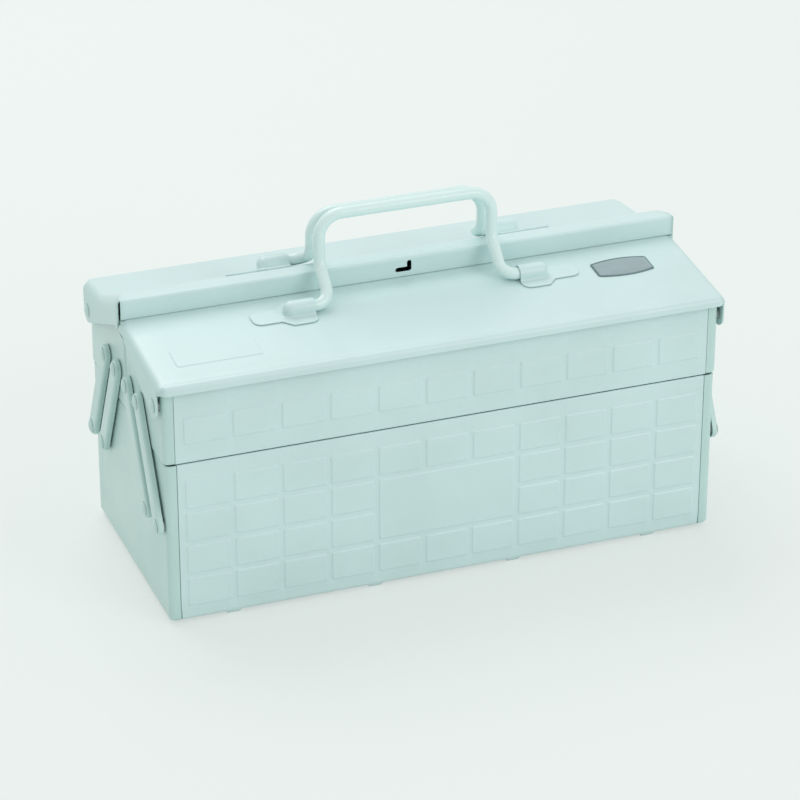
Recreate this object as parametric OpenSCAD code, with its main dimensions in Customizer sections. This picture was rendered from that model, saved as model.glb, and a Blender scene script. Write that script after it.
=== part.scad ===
// Two-way cantilever toolbox in pressed sheet steel: a base, two trays that spread on
// parallel links, a lid hinged on each tray and a folding rod handle on each lid.
// Length runs along X, depth along Y with the front at -Y, and the feet stand on Z = 0.

/* [Box] */
// Length of the base over its end panels
box_l = 343; // [300:1:400]
// Depth of the base, front to back
box_d = 148.2; // [140:0.2:170]
// Height of the base walls
base_h = 101.9; // [95:0.1:130]
// Height of the tray walls
tray_h = 49.6; // [46:0.1:60]
// How much further each tray end stands out than the base end
tray_extra = 0.7; // [0.4:0.1:1]
// Sheet with its coat of paint
sheet = 1; // [0.8:0.1:1.2]
// Radius of the upright corners
corner_r = 4; // [3:0.5:5]
// Radius of the long folds
fold_r = 3; // [2:0.5:4]
// Flat strip of the end panels' flanges that laps the front, back and bottom
seam_lap = 2.6; // [2:0.1:4]
// Height of the hem inside each rim
hem_h = 7; // [4:0.5:10]

/* [Feet] */
// Depth of the pressed feet below the bottom sheet
foot_h = 2; // [1.5:0.1:3]
// Width of one pressed foot
foot_w = 9.5; // [8:0.5:14]
// Distance from the middle to the inner pair of feet
foot_in_x = 44; // [30:1:60]
// Distance from the end of the box to the outer pair of feet
foot_side = 39.5; // [25:0.5:60]
// Clear strip between a foot's end and the box's long edge
foot_end = 5; // [3:0.5:12]

/* [Pressed pattern] */
// Number of columns
cols = 11; // [5:2:13]
// Number of rows on the base
rows = 4; // [4:1:6]
// Plain strip between each end of the pattern and the end of the box
grid_end = 9.8; // [9:0.1:16]
// Groove between two raised panels
groove = 2.4; // [1.5:0.1:4]
// Height of the raised panels
emboss = 0.6; // [0.3:0.1:0.8]
// Lower edge of the lowest row above the base's edge
row_first = 9; // [6:0.5:12]
// Plain strip above the base's top row
row_top = 7.7; // [7.5:0.1:12]
// Lower edge of the tray's row above the tray's edge
tray_row = 12; // [8:0.5:15]
// Plain strip above the tray's row
tray_top = 20; // [19:0.5:24]
// Columns joined in the middle panel
blank_cols = 3; // [1:2:5]

/* [Lids] */
// How much further each lid end stands out than the base end
lid_extra = 4.2; // [2.2:0.1:6]
// Radius of the soft folds at the ends of the lids
end_fold_r = 6; // [4:0.5:6]
// Overhang of each lid beyond the tray
lid_over = 5.4; // [4.5:0.1:8]
// Height of the eave above the rim of the trays
eave_rise = 2.3; // [2:0.1:4]
// Rise of each lid from the eave to the centre fold
lid_rise = 7.9; // [6:0.1:12]
// Depth of the lid's long skirt
skirt_h = 5.1; // [4:0.1:6]
// Height of the ridge on the back lid above the centre fold
ridge_h = 12.5; // [10:0.1:16]
// Width of the flat top of the ridge
ridge_top = 11; // [8:0.5:13]
// Where the ridge's ramp meets the back lid, from the centre
ridge_foot = 46; // [43:1:50]
// Open corner between the ridge's lip and the end walls
lip_open = 5; // [3:0.5:7]
// Gap between the lip of the ridge and the front lid
lip_gap = 0.6; // [0.5:0.1:1]
// Depth of the front lid's tongue under the ridge
tongue = 3; // [2:0.1:4]

/* [Hinges] */
// Hinge axis of a lid, in from the round corner of its tray
hinge_in = 3.1; // [3:0.1:5]
// Hinge axis of a lid, below the rim of its tray
hinge_drop = 13; // [12:0.1:16]
// Radius of the lid's hinge tab
tab_r = 7.5; // [7:0.1:9]
// Radius of the rivets' shanks
rivet_r = 2.4; // [2:0.1:3]
// Radius of the rivets' heads
rivet_head = 4.4; // [4:0.1:5]
// Running clearance round a rivet
run_gap = 0.1; // [0.05:0.01:0.1]

/* [Links] */
// Distance between the two pivots of a link
link_l = 72; // [60:0.5:80]
// Lean of the links from upright, inwards when shut and outwards when spread
link_lean = 27.5; // [20:0.5:30]
// Width of a link
link_w = 11; // [10:0.5:13]
// Thickness of a link's sheet
link_t = 1.2; // [1:0.1:1.5]
// Depth of a link's side flanges with the web
link_deep = 3.6; // [3:0.1:4]
// Upper pivots above the tray's lower edge
pivot_up = 23.2; // [18:0.1:28]
// Outer lower pivot, in from the round corner of the base
pivot_in = 3.1; // [3:0.1:6]
// Distance between the two links of one tray
link_pitch = 22.3; // [18:0.1:26]

/* [Handles] */
// Radius of the handle rod
rod_r = 3.6; // [3:0.1:4]
// Distance between the legs of a handle, middle to middle
leg_span = 108; // [90:1:130]
// Height of the front handle's bar above the centre fold
bar_rise = 49.4; // [40:0.1:60]
// How much lower the back handle's bar is
bar_step = 4.7; // [0:0.1:8]
// Radius of the handle's upper corners, at the middle of the rod
bend_r = 14; // [10:0.5:20]
// Radius of the bend into the saddle
end_bend_r = 9; // [8:0.5:12]
// Gap between a leg and the ridge
leg_gap = 0.4; // [0.3:0.1:1]
// Gap between the two handles where they stand side by side
hand_gap = 7; // [6:0.1:9]
// Axis of the front handle's saddles, from the centre
front_axis = 23.5; // [20:0.5:28]
// Axis of the back handle's saddles, from the centre
back_axis = 24.5; // [23:0.5:26]
// Slope of the back handle's lower stretch
back_slant = 32; // [30:1:40]

/* [Saddles] */
// Length of a saddle plate along the lid
saddle_l = 38; // [32:1:44]
// Width of the saddle's wide part at the mouth
saddle_w = 25; // [20:0.5:27]
// Width of the saddle's tail
tail_w = 14; // [12:0.5:18]
// Length of the wide part
lobe_l = 16; // [12:0.5:18]
// Depth of the bore for the rod's end
tunnel_l = 14; // [12:0.5:22]
// Clearance between the rod and its saddle
rod_gap = 0.3; // [0.2:0.05:0.4]

/* [Small parts] */
// Length of the name plate
plate_l = 36; // [26:1:40]
// Width of the name plate at its middle
plate_w = 20; // [14:0.5:22]
// Thickness of the name plate
plate_t = 0.6; // [0.4:0.1:1]
// Gap between the right-hand saddle and the name plate
plate_gap = 9.5; // [6:0.5:14]
// Middle of the name plate, in from the centre fold
plate_y = 28; // [24:0.5:45]
// Length of the pressed card panel
card_l = 50.5; // [40:0.5:60]
// Width of the pressed card panel
card_w = 17; // [12:0.5:20]
// Middle of the card panel, in from the lid's end
card_in = 44; // [38:0.5:60]
// Middle of the card panel, in from the centre fold
card_y = 51; // [40:0.5:58]
// Width of the L-shaped slot in the ridge
slot_w = 2.3; // [1.5:0.1:3]
// Length of the slot's lower arm
slot_l = 9.6; // [7:0.1:14]
// Length of the slot's upright arm
slot_h = 6.5; // [5:0.1:7]

/* [Hidden] */
$fn = 48;
// Gap between the trays and the base, between lapped sheets and beside the centre line
rest_gap = 0.5;
seam_gap = 0.15;
half_gap = 0.6;
// Overlap of sheets that are joined
join = 3;
// Corner of the tray ends at the centre line, and of the saddle plates
inner_corner_r = 2;
saddle_corner = 5;
// Where the slanted edge of a lid's end wall starts, in from the centre line
slant_in = 7;
// The front lid's tongue: side clearance and how far it turns down
tongue_gap = 0.5;
tongue_drop = 6;
// The ridge: slot and hem above its lip, its top fold, the sheet left over its open corners
// and how much lower the block that rounds the ramp's ends lies
slot_up = 4.3;
lip_hem = 2.5;
lip_end_r = 2.5;
top_strip = 2.5;
ramp_drop = 0.02;
// Height of the card panel
card_t = 0.4;
// Handles: slant of the front one's lower stretch, bend into the leg, rod inside a saddle
front_slant = 45;
knee_r = 12;
rod_in = tunnel_l - 1;
mouth_gap = 1;
bend_thin = 0.02;
bend_lap = 0.3;
// Links, washers and rivets
link_gap = 0.7;
free_gap = 0.3;
side_gap = 0.2;
washer_r = 3.9;
head_h = 1.4;
head_in_r = rivet_r + 0.6;
seat_gap = 0.01;
plate_bulge = 2.2;
paint = [0.79, 0.90, 0.88];
paint_end = [0.72, 0.84, 0.82];
paint_rod = [0.74, 0.88, 0.86];
plain_steel = [0.70, 0.74, 0.74];
plate_grey = [0.62, 0.70, 0.71];

// Heights, from the floor
base_top = foot_h + base_h;
tray_z = base_top + rest_gap;
rim_z = tray_z + tray_h;
eave_z = rim_z + eave_rise;
fold_z = eave_z + lid_rise;
ridge_z = fold_z + ridge_h;
skirt_z = eave_z - skirt_h;
lip_z = fold_z + lip_gap;
hinge_z = rim_z - hinge_drop;
high_pivot_z = tray_z + pivot_up;
low_pivot_z = high_pivot_z - link_l * cos(link_lean);
bar_z = fold_z + bar_rise;

// Places along X
seam_w = corner_r + seam_lap;
end_x = box_l / 2;
tray_x = end_x + tray_extra;
lid_x = end_x + lid_extra;
lid_l = 2 * lid_x;
link_x = tray_x + link_gap + link_deep;
leg_x = leg_span / 2;
mouth_x = leg_x + end_bend_r + mouth_gap;
plate_x = mouth_x + saddle_l + plate_gap + plate_l / 2;

// Places along Y, as distances from the centre
half_d = box_d / 2;
lid_y = half_d + lid_over;
hinge_y = half_d - corner_r - hinge_in;
swing = link_l * sin(link_lean);
outer_low_y = half_d - corner_r - pivot_in;
inner_low_y = outer_low_y - link_pitch;
outer_high_y = outer_low_y - swing;
inner_high_y = inner_low_y - swing;
ridge_y0 = 2 * half_gap;
ridge_y1 = ridge_top - ridge_y0;
front_leg_y = ridge_y0 + leg_gap + rod_r;
back_leg_y = hand_gap + 2 * rod_r - front_leg_y;

// Slopes of the lids and of the ridge's ramp
lid_k = lid_rise / lid_y;
lid_a = atan(lid_k);
foot_z = fold_z - lid_k * ridge_foot;
ramp_a = atan((ridge_z - foot_z) / (ridge_foot - ridge_y1));
rod_up = rod_r + rod_gap;

// Handle axes
front_axis_z = fold_z - lid_k * front_axis + rod_up / cos(lid_a);
back_axis_z = ridge_z - tan(ramp_a) * (back_axis - ridge_y1) + rod_up / cos(ramp_a);

// Lid outlines: centre of the long fold, lowest level drawn, slanted edge of the end walls
eave_fold_z = eave_z + lid_k * fold_r - fold_r / cos(lid_a);
low_z = hinge_z - 2 * tab_r;
slant_y = half_gap + slant_in;
slant_z = fold_z - end_fold_r;
ramp_end_r = end_fold_r - 0.5;
slant_dy = hinge_y - slant_y;
slant_dz = slant_z - hinge_z;
slant_a = atan(slant_dz / slant_dy)
    + asin(tab_r / sqrt(slant_dy * slant_dy + slant_dz * slant_dz));

// Feet and pattern
foot_l = box_d - 2 * foot_end;
foot_out_x = end_x - foot_side;
grid_l = box_l - 2 * grid_end;
col_pitch = grid_l / cols;
row_pitch = (base_h - row_first - row_top) / rows;
tray_cell_h = tray_h - tray_row - tray_top;
blank_first = (cols - blank_cols) / 2;

// An outline in Y and Z drawn out along X, evenly to both sides
module along_x(len) {
    rotate([90, 0, 90]) linear_extrude(height = len, center = true) children();
}

// Both ends of the box from one shape that is drawn at the left end
module both_ends() {
    children();
    mirror([1, 0, 0]) children();
}

// A wall outline open at the top, with round lower corners
module tub_2d(y0, y1, z0, h, r) {
    translate([y0, z0 + r]) square([y1 - y0, h - r]);
    translate([y0 + r, z0]) square([y1 - y0 - 2 * r, r]);
    translate([y0 + r, z0 + r]) circle(r);
    translate([y1 - r, z0 + r]) circle(r);
}

// Sheet bent to a U, as seen from the end
module channel_2d(y0, y1, z0, h, r) {
    difference() {
        tub_2d(y0, y1, z0, h, r);
        translate([0, sheet])
            tub_2d(y0 + sheet, y1 - sheet, z0, h, r - sheet);
    }
}

// Hemmed rim, as seen from the end: the sheet turns over inwards
module hem_2d(y, z, side) {
    translate([y + side * sheet, z - sheet]) circle(sheet);
    translate([side > 0 ? y : y - 2 * sheet, z - hem_h]) square([2 * sheet, hem_h - sheet]);
}

// Front, bottom and back in one sheet, stepped in at each end behind the end panels
module wrap(half_l, y0, y1, z0, h) {
    flush_l = 2 * (half_l - seam_w - seam_gap);
    lap_l = seam_lap + join;
    along_x(flush_l) {
        channel_2d(y0, y1, z0, h - sheet, fold_r);
        hem_2d(y0, z0 + h, 1);
        hem_2d(y1, z0 + h, -1);
    }
    both_ends()
        translate([-half_l + corner_r + seam_gap + lap_l / 2, 0, 0])
            along_x(lap_l)
                channel_2d(y0 + sheet, y1 - sheet, z0 + sheet, h - 2 * sheet, fold_r - sheet);
}

// Footprint of an end panel, round at its two outer corners
module pan_2d(x0, y0, y1, r0, r1) {
    r = max(r0, r1);
    translate([x0 + r, y0]) square([-x0 - r, y1 - y0]);
    translate([x0, y0 + r0]) square([r, y1 - y0 - r0 - r1]);
    translate([x0 + r0, y0 + r0]) circle(r0);
    translate([x0 + r0, y0]) square([r, 2 * r0]);
    translate([x0 + r1, y1 - r1]) circle(r1);
    translate([x0 + r1, y1 - 2 * r1]) square([r, 2 * r1]);
}

// Solid block with an end panel's outline
module pan_block(x0, y0, y1, r0, r1, z0, h, r) {
    intersection() {
        translate([0, 0, z0]) linear_extrude(height = h) pan_2d(x0, y0, y1, r0, r1);
        along_x(-2 * x0) tub_2d(y0, y1, z0, h, r);
    }
}

// Left end panel: flanges wrap onto the front, the back and the bottom
module end_panel(x0, y0, y1, r0, r1, z0, h, pivots) {
    difference() {
        pan_block(x0, y0, y1, r0, r1, z0, h - sheet, fold_r);
        translate([0, 0, sheet])
            pan_block(x0 + sheet, y0 + sheet, y1 - sheet, r0 - sheet, r1 - sheet,
                z0, h, fold_r - sheet);
        translate([x0 + seam_w, y0 - 1, z0 - 1]) cube([-x0, y1 - y0 + 2, h + 2]);
        for (p = pivots)
            translate([x0 - 1, p[0], p[1]]) rotate([0, 90, 0]) cylinder(r = rivet_r, h = 3);
    }
    r = max(r0, r1);
    translate([x0, y0 + r, z0 + h - hem_h]) cube([2 * sheet, y1 - y0 - 2 * r, hem_h - sheet]);
    translate([x0 + sheet, y0 + r, z0 + h - sheet])
        rotate([-90, 0, 0]) cylinder(r = sheet, h = y1 - y0 - 2 * r);
}

// One raised panel on a front wall at Y = 0, facing -Y
module cell(x, z, w, h) {
    translate([x + groove / 2, -emboss, z]) cube([w - groove, emboss + sheet / 2, h]);
}

// Raised panels of the base's front, with plain joined panels in the middle
module base_cells() {
    for (c = [0:cols - 1], r = [0:rows - 1])
        if (!(c >= blank_first && c < blank_first + blank_cols && (r == 1 || r == 2)))
            cell(-grid_l / 2 + c * col_pitch, foot_h + row_first + r * row_pitch,
                col_pitch, row_pitch - groove);
    cell(-grid_l / 2 + blank_first * col_pitch, foot_h + row_first + row_pitch,
        blank_cols * col_pitch, 2 * row_pitch - groove);
}

// Raised panels of a tray's outer wall
module tray_cells() {
    for (c = [0:cols - 1])
        cell(-grid_l / 2 + c * col_pitch, tray_z + tray_row, col_pitch, tray_cell_h);
}

// A pressed trough below the sheet: flat at the bottom with sides at 45 degrees
module trough(x, w, l, z0, depth, over) {
    intersection() {
        translate([x, 0, 0]) rotate([90, 0, 0])
            linear_extrude(height = box_d, center = true)
                trough_2d(w, z0, depth, over);
        translate([x, 0, 0]) along_x(2 * w) trough_2d(l, z0, depth, over);
    }
}

module trough_2d(w, z0, depth, over) {
    top = z0 + depth;
    polygon([
        [-w / 2 + depth, z0], [w / 2 - depth, z0], [w / 2, top],
        [w / 2, top + over], [-w / 2, top + over], [-w / 2, top]
    ]);
}

// The four feet, as blocks or as the hollows that the press leaves behind them
module feet(inset) {
    cut = 2 * inset * tan(22.5);
    for (x = [-foot_out_x, -foot_in_x, foot_in_x, foot_out_x])
        trough(x, foot_w - cut, foot_l - cut, inset, foot_h, sheet / 2 + inset);
}

module base_wrap() {
    color(paint) {
        difference() {
            union() {
                wrap(end_x, -half_d, half_d, foot_h, base_h);
                feet(0);
            }
            feet(sheet);
        }
        translate([0, -half_d, 0]) base_cells();
        mirror([0, 1, 0]) translate([0, -half_d, 0]) base_cells();
    }
}

module base_left_end() {
    color(paint_end)
        end_panel(-end_x, -half_d, half_d, corner_r, corner_r, foot_h, base_h, [
            [-outer_low_y, low_pivot_z], [-inner_low_y, low_pivot_z],
            [inner_low_y, low_pivot_z], [outer_low_y, low_pivot_z]
        ]);
}
module base_right_end() { mirror([1, 0, 0]) base_left_end(); }

module front_tray_wrap() {
    color(paint) {
        wrap(tray_x, -half_d, -half_gap, tray_z, tray_h);
        translate([0, -half_d, 0]) tray_cells();
    }
}
module back_tray_wrap() { mirror([0, 1, 0]) front_tray_wrap(); }

module front_tray_left_end() {
    color(paint_end)
        end_panel(-tray_x, -half_d, -half_gap, corner_r, inner_corner_r, tray_z, tray_h, [
            [-outer_high_y, high_pivot_z], [-inner_high_y, high_pivot_z], [-hinge_y, hinge_z]
        ]);
}
module front_tray_right_end() { mirror([1, 0, 0]) front_tray_left_end(); }
module back_tray_left_end() { mirror([0, 1, 0]) front_tray_left_end(); }
module back_tray_right_end() { mirror([1, 0, 0]) back_tray_left_end(); }

// Long fold and skirt of a lid at -Y, as a solid outline drawn in by inset
module eave_2d(inset) {
    r = fold_r - inset;
    translate([-lid_y + fold_r, eave_fold_z]) circle(r);
    polygon([
        [-lid_y + inset, low_z], [-lid_y + inset, eave_fold_z], [-lid_y + fold_r, eave_fold_z],
        [-lid_y + fold_r - r * sin(lid_a), eave_fold_z + r * cos(lid_a)],
        [-lid_y + 2 * fold_r, fold_z - lid_k * (lid_y - 2 * fold_r) - inset / cos(lid_a)],
        [-lid_y + 2 * fold_r, low_z]
    ]);
}

// Solid outline of the front lid up to Y = far
module front_lid_2d(inset, far) {
    near = -lid_y + 2 * fold_r;
    drop = inset / cos(lid_a);
    eave_2d(inset);
    polygon([
        [near, low_z], [near, fold_z + lid_k * near - drop],
        [far, fold_z + lid_k * far - drop], [far, low_z]
    ]);
}

// Solid outline of the back lid with its ridge, drawn as if it opened to the front
module back_lid_2d(inset) {
    near = -lid_y + 2 * fold_r;
    drop = inset / cos(lid_a);
    y1 = ridge_y1 - inset * tan(ramp_a / 2);
    foot = (ridge_z - inset - fold_z + drop + tan(ramp_a) * y1) / (tan(ramp_a) - lid_k);
    eave_2d(inset);
    polygon([
        [near, low_z], [near, fold_z + lid_k * near - drop], [-foot, fold_z - lid_k * foot - drop],
        [-y1, ridge_z - inset], [ridge_y0 - inset, ridge_z - inset], [ridge_y0 - inset, low_z]
    ]);
}

// Block below a plane that falls to -Y at angle a from z at Y = 0, round at its two ends
module round_ends(z, a, r0, inset) {
    r = r0 - inset;
    deep = fold_z - low_z + r0;
    translate([0, 0, z]) rotate([90 + a, 0, 0])
        linear_extrude(height = 3 * lid_y, center = true) {
            for (s = [-1, 1]) translate([s * (lid_x - r0), -r0]) circle(r);
            translate([-lid_x + r0, -deep]) square([lid_l - 2 * r0, deep - inset]);
            translate([-lid_x + inset, -deep]) square([lid_l - 2 * inset, deep - r0]);
        }
}

module lid_ends(inset) {
    round_ends(fold_z, lid_a, end_fold_r, inset);
}

// The same with the ridge on it
module ridge_ends(inset) {
    lid_ends(inset);
    intersection() {
        round_ends(ridge_z + ridge_y1 * tan(ramp_a) - ramp_drop, ramp_a, ramp_end_r, inset);
        round_ends(ridge_z, 0, lip_end_r, inset);
    }
}

// What stays of a lid's end wall, from the end: a round hinge tab and a slanted edge
module end_outline_2d() {
    translate([-hinge_y, hinge_z]) circle(tab_r);
    polygon([
        [-hinge_y, hinge_z], [-hinge_y - tab_r, hinge_z], [-hinge_y - tab_r, skirt_z],
        [-lid_y - 1, skirt_z], [-lid_y - 1, ridge_z + 1], [-half_gap, ridge_z + 1],
        [-half_gap, slant_z], [-slant_y, slant_z],
        [-hinge_y + tab_r * sin(slant_a), hinge_z - tab_r * cos(slant_a)]
    ]);
}

// A pin's hole through both end walls at the hinge
module hinge_holes() {
    both_ends()
        translate([-lid_x - sheet, -hinge_y, hinge_z]) rotate([0, 90, 0])
            cylinder(r = rivet_r + run_gap, h = 3 * sheet);
}

// A flat piece laid on the lid's plane at x and y, as drawn in its own XY plane
module on_lid(x, y) {
    translate([x, -y, fold_z - lid_k * y]) rotate([lid_a, 0, 0]) children();
}

// Tongue of the front lid that runs under the ridge and turns down
module lid_tongue() {
    z = fold_z - lid_k * half_gap;
    along_x(2 * (lid_x - sheet - tongue_gap))
        polygon([
            [-join, fold_z - lid_k * join], [-half_gap, z], [tongue, z],
            [tongue, z - tongue_drop], [tongue - sheet, z - tongue_drop],
            [tongue - sheet, z - sheet], [-half_gap, z - sheet],
            [-join, fold_z - lid_k * join - sheet]
        ]);
}

module front_lid() {
    color(paint) {
        difference() {
            intersection() {
                along_x(lid_l + 2) front_lid_2d(0, -half_gap);
                lid_ends(0);
                along_x(lid_l + 2) end_outline_2d();
            }
            intersection() {
                along_x(lid_l + 2) front_lid_2d(sheet, half_gap);
                lid_ends(sheet);
            }
            hinge_holes();
        }
        lid_tongue();
        on_lid(card_in - lid_x, card_y)
            translate([-card_l / 2, -card_w / 2, -sheet / 2]) cube([card_l, card_w, sheet / 2 + card_t]);
    }
}

// L-shaped slot through the ridge's front face, round at all three corners
module ridge_slot() {
    x = slot_l - slot_w;
    translate([-x / 2, 0, lip_z + slot_up]) rotate([90, 0, 0])
        linear_extrude(height = 4 * sheet, center = true) {
            for (p = [[0, 0], [x, 0], [x, slot_h - slot_w]]) translate(p) circle(slot_w / 2);
            translate([0, -slot_w / 2]) square([x, slot_w]);
            translate([x - slot_w / 2, 0]) square([slot_w, slot_h - slot_w]);
        }
}

module back_lid() {
    color(paint) mirror([0, 1, 0]) {
        difference() {
            intersection() {
                along_x(lid_l + 2) back_lid_2d(0);
                ridge_ends(0);
                along_x(lid_l + 2) {
                    end_outline_2d();
                    translate([-half_gap, lip_z])
                        square([half_gap + ridge_y0 + 1, ridge_z - lip_z + 1]);
                }
            }
            intersection() {
                along_x(lid_l + 2) back_lid_2d(sheet);
                ridge_ends(sheet);
            }
            hinge_holes();
            translate([0, ridge_y0, 0]) ridge_slot();
            both_ends() translate([-lid_x - 1, ridge_y0 - lip_open, lip_z - 1])
                cube([1 + sheet + seam_gap, lip_open + 1, ridge_h - lip_gap + 1 - top_strip]);
        }
        translate([-lid_x + sheet + seam_gap, ridge_y0 - 2 * sheet, lip_z])
            cube([lid_l - 2 * sheet - 2 * seam_gap, 1.5 * sheet, lip_hem]);
    }
}

// A bent piece of rod in the XY plane, from angle a0 through a, about the origin
module rod_bend(r, a0, a) {
    rotate([0, 0, a0]) rotate_extrude(angle = a) translate([r, 0]) circle(rod_r - bend_thin);
}

// A straight piece of rod from the origin up, which runs a little into the bends at its ends
module rod(len, lap0, lap1) {
    translate([0, 0, -lap0]) cylinder(r = rod_r, h = len + lap0 + lap1);
}

// A handle that folds to the front: the rod runs from a saddle up the slant, up the leg
// and over the bar, and the same again on the other side
module handle(axis_y, axis_z, leg_y, top_z, slant) {
    rise = (axis_y - leg_y) * tan(slant);
    turn = 90 - slant;
    cut = knee_r * tan(turn / 2);
    slant_l = (axis_y - leg_y) / cos(slant) - end_bend_r - cut;
    knee_z = axis_z + rise;
    both_ends() {
        translate([-mouth_x - rod_in, -axis_y, axis_z]) rotate([0, 90, 0])
            rod(mouth_x + rod_in - leg_x - end_bend_r, 0, bend_lap);
        translate([0, -axis_y, axis_z]) rotate([slant, 0, 0]) {
            translate([-leg_x - end_bend_r, end_bend_r, 0]) rod_bend(end_bend_r, -90, 90);
            translate([-leg_x, end_bend_r, 0]) rotate([-90, 0, 0])
                rod(slant_l, bend_lap, bend_lap);
        }
        translate([-leg_x, -leg_y - knee_r, knee_z + cut]) rotate([90, 0, 90])
            rod_bend(knee_r, -turn, turn);
        translate([-leg_x, -leg_y, knee_z + cut])
            rod(top_z - bend_r - knee_z - cut, bend_lap, bend_lap);
        translate([-leg_x + bend_r, -leg_y, top_z - bend_r]) rotate([90, 0, 0])
            rod_bend(bend_r, 90, 90);
    }
    translate([-leg_x + bend_r, -leg_y, top_z]) rotate([0, 90, 0])
        rod(leg_span - 2 * bend_r, bend_lap, bend_lap);
}

module front_handle() {
    color(paint_rod) handle(front_axis, front_axis_z, front_leg_y, bar_z, front_slant);
}
module back_handle() {
    color(paint_rod) mirror([0, 1, 0])
        handle(back_axis, back_axis_z, back_leg_y, bar_z - bar_step, back_slant);
}

// Outline of a saddle plate with its mouth at X = 0
module saddle_2d() {
    c = saddle_corner;
    w = saddle_w / 2;
    t = tail_w / 2;
    end = lobe_l + w - t;
    polygon([[0, -w + c], [c, -w], [lobe_l, -w], [end, -t], [end, t], [lobe_l, w], [c, w], [0, w - c]]);
    translate([c, w - c]) circle(c);
    translate([c, -w + c]) circle(c);
    translate([end - 1, -t]) square([saddle_l - c - end + 1, 2 * t]);
    translate([saddle_l - c - 1, -t + c]) square([c + 1, 2 * t - 2 * c]);
    translate([saddle_l - c, t - c]) circle(c);
    translate([saddle_l - c, -t + c]) circle(c);
}

// Space round the rod's end, open below, in the saddle's own frame
module tunnel(r, low) {
    translate([-join, 0, rod_up]) rotate([0, 90, 0]) cylinder(r = r, h = tunnel_l + join);
    translate([-join, -r, low]) cube([tunnel_l + join, 2 * r, rod_up - low]);
    translate([tunnel_l, 0, rod_up]) sphere(r);
    translate([tunnel_l, 0, low]) cylinder(r = r, h = rod_up - low);
}

// Saddle plate on a sheet at Z = 0: a flat plate with a half-round cover for the rod's end
module saddle() {
    color(paint) difference() {
        union() {
            linear_extrude(height = sheet) saddle_2d();
            intersection() {
                tunnel(rod_up + sheet, 0);
                translate([0, -saddle_w, 0]) cube([saddle_l, 2 * saddle_w, 4 * rod_up]);
            }
        }
        tunnel(rod_up, -1);
    }
}

module front_right_saddle() {
    translate([mouth_x, -front_axis, front_axis_z]) rotate([lid_a, 0, 0])
        translate([0, 0, seat_gap - rod_up]) saddle();
}
module front_left_saddle() { mirror([1, 0, 0]) front_right_saddle(); }
module back_right_saddle() {
    translate([mouth_x, back_axis, back_axis_z]) rotate([-ramp_a, 0, 0])
        translate([0, 0, seat_gap - rod_up]) saddle();
}
module back_left_saddle() { mirror([1, 0, 0]) back_right_saddle(); }

// Outline of a link from its lower pivot at the origin
module link_2d(r) {
    circle(r);
    translate([0, link_l]) circle(r);
    translate([-r, 0]) square([2 * r, link_l]);
}

// Link pressed as a shallow tray, open towards the box, with a hole at each pivot
module link(low_y, top_gap) {
    translate([tray_x + link_gap, -low_y, low_pivot_z]) rotate([-link_lean, 0, 0]) rotate([90, 0, 90])
        color(paint_end) difference() {
            linear_extrude(height = link_deep) link_2d(link_w / 2);
            translate([0, 0, -1])
                linear_extrude(height = link_deep - link_t + 1) link_2d(link_w / 2 - link_t);
            translate([0, 0, -1]) cylinder(r = rivet_r + run_gap, h = link_deep + 2);
            translate([0, link_l, -1]) cylinder(r = rivet_r + top_gap, h = link_deep + 2);
        }
}

module front_outer_right_link() { link(outer_low_y, run_gap); }
module front_outer_left_link() { mirror([1, 0, 0]) front_outer_right_link(); }
module front_inner_right_link() { link(inner_low_y, free_gap); }
module front_inner_left_link() { mirror([1, 0, 0]) front_inner_right_link(); }
module back_outer_right_link() { mirror([0, 1, 0]) front_outer_right_link(); }
module back_outer_left_link() { mirror([0, 1, 0]) front_outer_left_link(); }
module back_inner_right_link() { mirror([0, 1, 0]) front_inner_right_link(); }
module back_inner_left_link() { mirror([0, 1, 0]) front_inner_left_link(); }

// Rivet through the right-hand wall whose inner face is at x_in, with its head at x_out
module rivet(x_in, x_out, y, z) {
    dome = (rivet_head * rivet_head + head_h * head_h) / (2 * head_h);
    color(paint_end) translate([0, y, z]) rotate([0, 90, 0]) {
        translate([0, 0, x_in - head_h]) cylinder(r = head_in_r, h = head_h);
        translate([0, 0, x_in - head_h / 2]) cylinder(r = rivet_r, h = x_out - x_in + head_h);
        intersection() {
            translate([0, 0, x_out]) cylinder(r = rivet_head, h = head_h);
            translate([0, 0, x_out + head_h - dome]) sphere(dome);
        }
    }
}

// Spacer round a rivet, from the wall's outer face to just short of the moving sheet
module washer(x0, x1, y, z) {
    color(plain_steel) translate([x0, y, z]) rotate([0, 90, 0]) difference() {
        cylinder(r = washer_r, h = x1 - x0);
        translate([0, 0, -1]) cylinder(r = rivet_r, h = x1 - x0 + 2);
    }
}

module base_link_rivets() {
    both_ends() for (y = [-outer_low_y, -inner_low_y, inner_low_y, outer_low_y])
        rivet(end_x - sheet, link_x + side_gap, y, low_pivot_z);
}
module base_link_washers() {
    both_ends() for (y = [-outer_low_y, -inner_low_y, inner_low_y, outer_low_y])
        washer(end_x, link_x - link_t - side_gap, y, low_pivot_z);
}
module front_tray_link_rivets() {
    both_ends() for (y = [-outer_high_y, -inner_high_y])
        rivet(tray_x - sheet, link_x + side_gap, y, high_pivot_z);
}
module front_tray_link_washers() {
    both_ends() for (y = [-outer_high_y, -inner_high_y])
        washer(tray_x, link_x - link_t - side_gap, y, high_pivot_z);
}
module back_tray_link_rivets() { mirror([0, 1, 0]) front_tray_link_rivets(); }
module back_tray_link_washers() { mirror([0, 1, 0]) front_tray_link_washers(); }

module front_hinge_rivets() {
    both_ends() rivet(tray_x - sheet, lid_x + side_gap, -hinge_y, hinge_z);
}
module front_hinge_washers() {
    both_ends() washer(tray_x, lid_x - sheet - side_gap, -hinge_y, hinge_z);
}
module back_hinge_rivets() { mirror([0, 1, 0]) front_hinge_rivets(); }
module back_hinge_washers() { mirror([0, 1, 0]) front_hinge_washers(); }

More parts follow.
